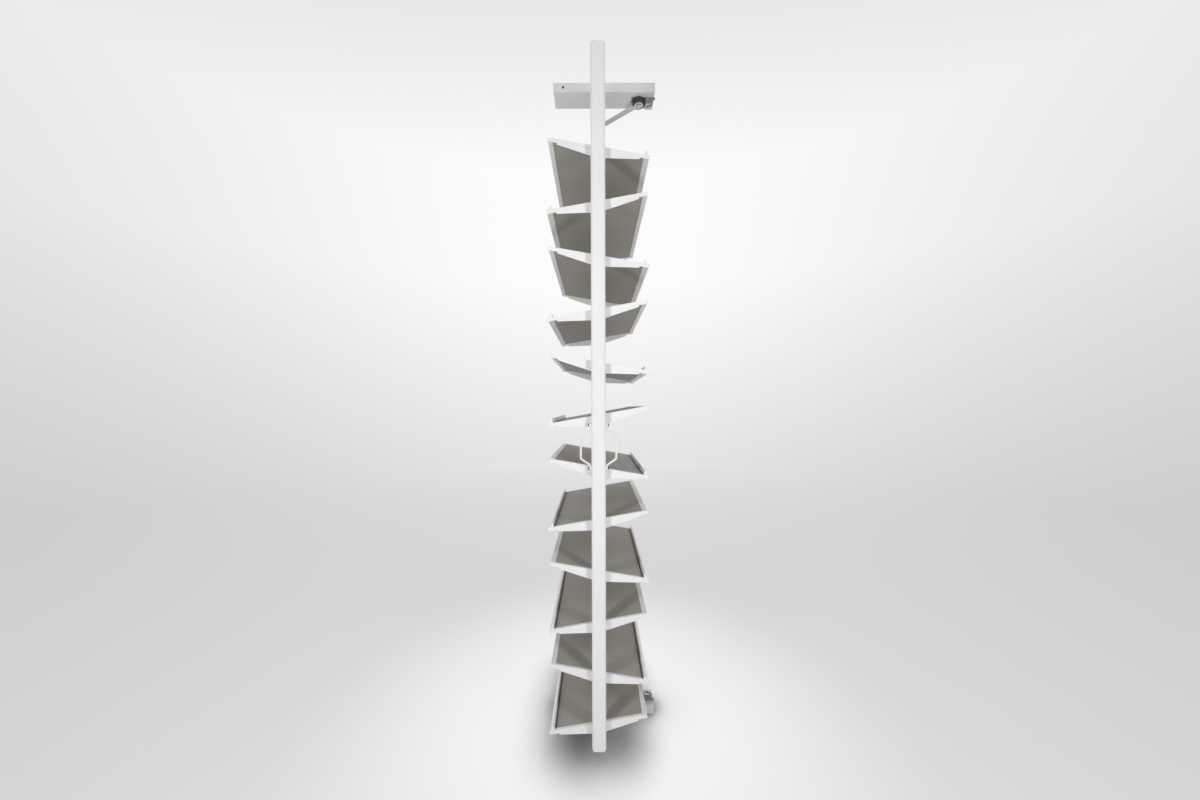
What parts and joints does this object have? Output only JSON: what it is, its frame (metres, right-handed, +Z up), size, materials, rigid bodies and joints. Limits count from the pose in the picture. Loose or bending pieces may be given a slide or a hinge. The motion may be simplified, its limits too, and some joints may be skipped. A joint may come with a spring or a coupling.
{
  "type": "rotating shoe tower",
  "caption": "Tall swing-out shoe tower: a white tube frame with alternately tilted grey trays, pull handles, and a swing arm with rail at the top and the bottom.",
  "frame": {"origin": "centre of the bottom plate's fixing holes, on the wardrobe's floor, below the middle of the tower's frame", "axes": "+Z up along the tower, -Y to the front, where the handles are, +X to the right, where the hub is"},
  "size_m": [0.3347, 0.5, 2.09],
  "materials": {
    "white_paint": "satin white powder coat",
    "rail_paint": "satin light grey powder coat",
    "arm_paint": "satin grey powder coat",
    "grey_panel": "matt warm grey laminate",
    "black_nylon": "moulded, fine grain",
    "bush_nylon": "moulded",
    "dark_casting": "zinc casting with a dark grey coat",
    "zinc": "bright zinc plate",
    "black_steel": "black oxide"
  },
  "bodies": {
    "wardrobe_rails": {"bottom_mount_plate": "zinc", "top_mount_plate": "zinc", "bottom_rail_cover": "rail_paint", "top_rail_cover": "rail_paint", "bottom_hub_block": "dark_casting", "top_hub_block": "dark_casting", "hub_pins": "zinc", "cover_screws": "black_steel", "block_screws": "zinc"},
    "swing_arms": {"bottom_hub": "black_nylon", "top_hub": "black_nylon", "bottom_arm": "arm_paint", "top_arm": "arm_paint", "pivot_pins": "zinc"},
    "tower": {"front_post": "white_paint", "rear_post": "white_paint", "top_bar": "white_paint", "bottom_bar": "white_paint", "handle_left": "white_paint", "handle_right": "white_paint", "handle_screws": "black_steel", "tray_screws": "zinc", "bottom_bush": "bush_nylon", "top_bush": "bush_nylon", "tray_01_panel": "grey_panel", "tray_01_rails": "white_paint", "tray_01_end_plates": "white_paint", "tray_02_panel": "grey_panel", "tray_02_rails": "white_paint", "tray_02_end_plates": "white_paint", "tray_03_panel": "grey_panel", "tray_03_rails": "white_paint", "tray_03_end_plates": "white_paint", "tray_04_panel": "grey_panel", "tray_04_rails": "white_paint", "tray_04_end_plates": "white_paint", "tray_05_panel": "grey_panel", "tray_05_rails": "white_paint", "tray_05_end_plates": "white_paint", "tray_06_panel": "grey_panel", "tray_06_rails": "white_paint", "tray_06_end_plates": "white_paint", "tray_07_panel": "grey_panel", "tray_07_rails": "white_paint", "tray_07_end_plates": "white_paint", "tray_08_panel": "grey_panel", "tray_08_rails": "white_paint", "tray_08_end_plates": "white_paint", "tray_09_panel": "grey_panel", "tray_09_rails": "white_paint", "tray_09_end_plates": "white_paint", "tray_10_panel": "grey_panel", "tray_10_rails": "white_paint", "tray_10_end_plates": "white_paint", "tray_11_panel": "grey_panel", "tray_11_rails": "white_paint", "tray_11_end_plates": "white_paint", "tray_12_panel": "grey_panel", "tray_12_rails": "white_paint", "tray_12_end_plates": "white_paint"}
  },
  "joints": [
    {"name": "arm_swing", "type": "hinge", "parent": "wardrobe_rails", "child": "swing_arms", "pos_m": [0.137, -0.006, 0], "axis": [0, 0, 1], "range_deg": [0, 120]},
    {"name": "tower_turn", "type": "hinge", "parent": "swing_arms", "child": "tower", "pos_m": [0, 0.105, 0], "axis": [0, 0, 1], "continuous": true}
  ]
}
